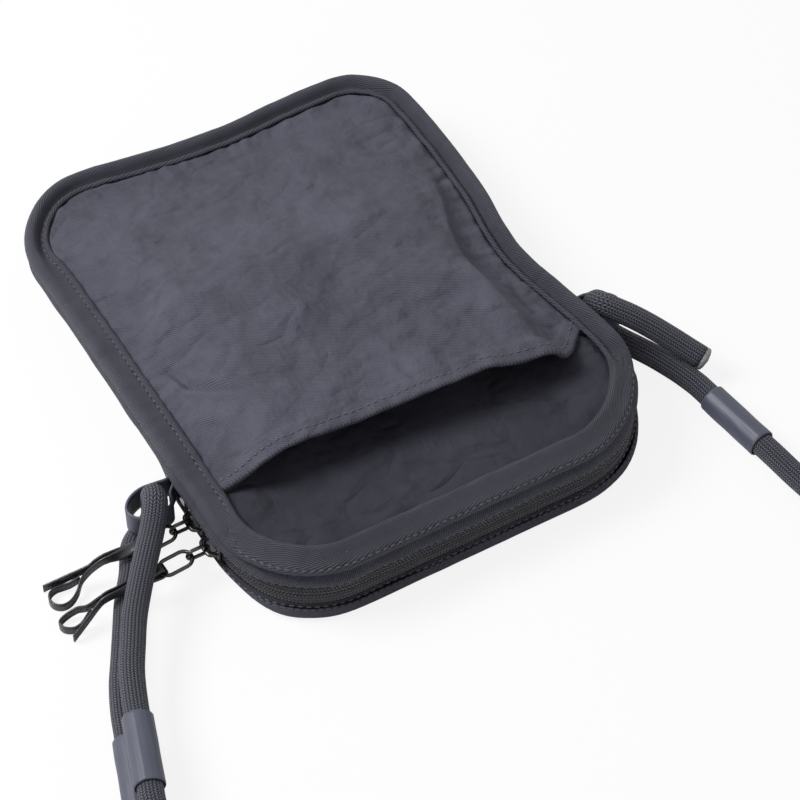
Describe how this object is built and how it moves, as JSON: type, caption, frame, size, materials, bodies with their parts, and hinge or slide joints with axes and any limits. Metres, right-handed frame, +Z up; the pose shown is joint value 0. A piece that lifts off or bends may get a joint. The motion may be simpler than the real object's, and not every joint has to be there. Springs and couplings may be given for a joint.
{
  "type": "crossbody pouch",
  "caption": "Soft flat crossbody pouch lying on its back, with a zip round its mouth, an open slip pocket on top and a rope strap through two side tabs.",
  "frame": {"origin": "middle of the flat underside of the back panel, on the table", "axes": "+X across the pouch, +Y from the zipped mouth towards the closed end, +Z up out of the slip pocket side"},
  "size_m": [0.4034, 0.411, 0.0428],
  "materials": {
    "nylon": "matte woven nylon, softly creased",
    "lining": "matte woven nylon",
    "binding": "ribbed woven tape",
    "tape": "fine ribbed zip tape",
    "coil": "nylon zip coil",
    "metal": "glossy black plated metal",
    "leather": "thin smooth leatherette",
    "satin": "satin leatherette",
    "cord": "braided rope",
    "seal": "melted rope end"
  },
  "bodies": {
    "pouch": {"back_panel": "nylon", "back_lining": "lining", "back_binding": "binding", "side_gusset": "nylon", "lower_gusset": "nylon", "edge_binding_far": "binding", "front_panel_far": "lining", "pocket_panel": "nylon", "pocket_hem": "nylon", "zip_tape_lower": "tape", "zip_coil_lower": "coil", "zip_end_left": "tape", "zip_end_right": "tape", "zip_stop_left": "metal", "zip_stop_right": "metal", "side_tab_left": "satin", "side_tab_right": "satin", "strap_tail_left": "cord", "strap_tail_right": "cord", "strap_end_left": "seal", "strap_end_right": "seal", "strap_run_left": "cord", "strap_run_right": "cord", "strap_coil": "cord"},
    "mouth_flap": {"edge_binding_near": "binding", "front_panel_near": "lining", "upper_gusset": "nylon", "zip_tape_upper": "tape", "zip_coil_upper": "coil"},
    "slider_a": {"slider_a": "metal", "pull_link_a": "metal"},
    "slider_b": {"slider_b": "metal", "pull_link_b": "metal"},
    "pull_a": {"pull_ring_a": "metal", "pull_strip_a": "leather"},
    "pull_b": {"pull_ring_b": "metal", "pull_strip_b": "leather"},
    "sleeve_left_front": {"sleeve_left_front": "satin"},
    "sleeve_left_back": {"sleeve_left_back": "satin"},
    "sleeve_right": {"sleeve_right": "satin"}
  },
  "joints": [
    {"name": "mouth_lift", "type": "hinge", "parent": "pouch", "child": "mouth_flap", "pos_m": [0, -0.0622, 0.03375], "axis": [-0.9994, 0.0349, 0], "range_deg": [0, 25]},
    {"name": "slider_a_travel", "type": "slide", "parent": "pouch", "child": "slider_a", "axis": [0, 1, 0], "range_m": [-0.002, 0]},
    {"name": "slider_b_travel", "type": "slide", "parent": "pouch", "child": "slider_b", "axis": [0, -1, 0], "range_m": [0, 0.0035]},
    {"name": "pull_a_swing", "type": "hinge", "parent": "slider_a", "child": "pull_a", "pos_m": [-0.09355, -0.0543, 0.0136], "axis": [0, 0, 1], "range_deg": [-1, 1.5]},
    {"name": "pull_b_swing", "type": "hinge", "parent": "slider_b", "child": "pull_b", "pos_m": [-0.09355, -0.0675, 0.0136], "axis": [0, 0, 1], "range_deg": [0, 6]},
    {"name": "sleeve_left_front_slide", "type": "slide", "parent": "pouch", "child": "sleeve_left_front", "axis": [-0.311, -0.9504, 0], "range_m": [-0.004, 0.004]},
    {"name": "sleeve_left_back_slide", "type": "slide", "parent": "pouch", "child": "sleeve_left_back", "axis": [-0.3193, -0.9477, 0], "range_m": [-0.004, 0.004]},
    {"name": "sleeve_right_slide", "type": "slide", "parent": "pouch", "child": "sleeve_right", "axis": [0.1347, -0.9909, 0], "range_m": [-0.004, 0.004]}
  ]
}
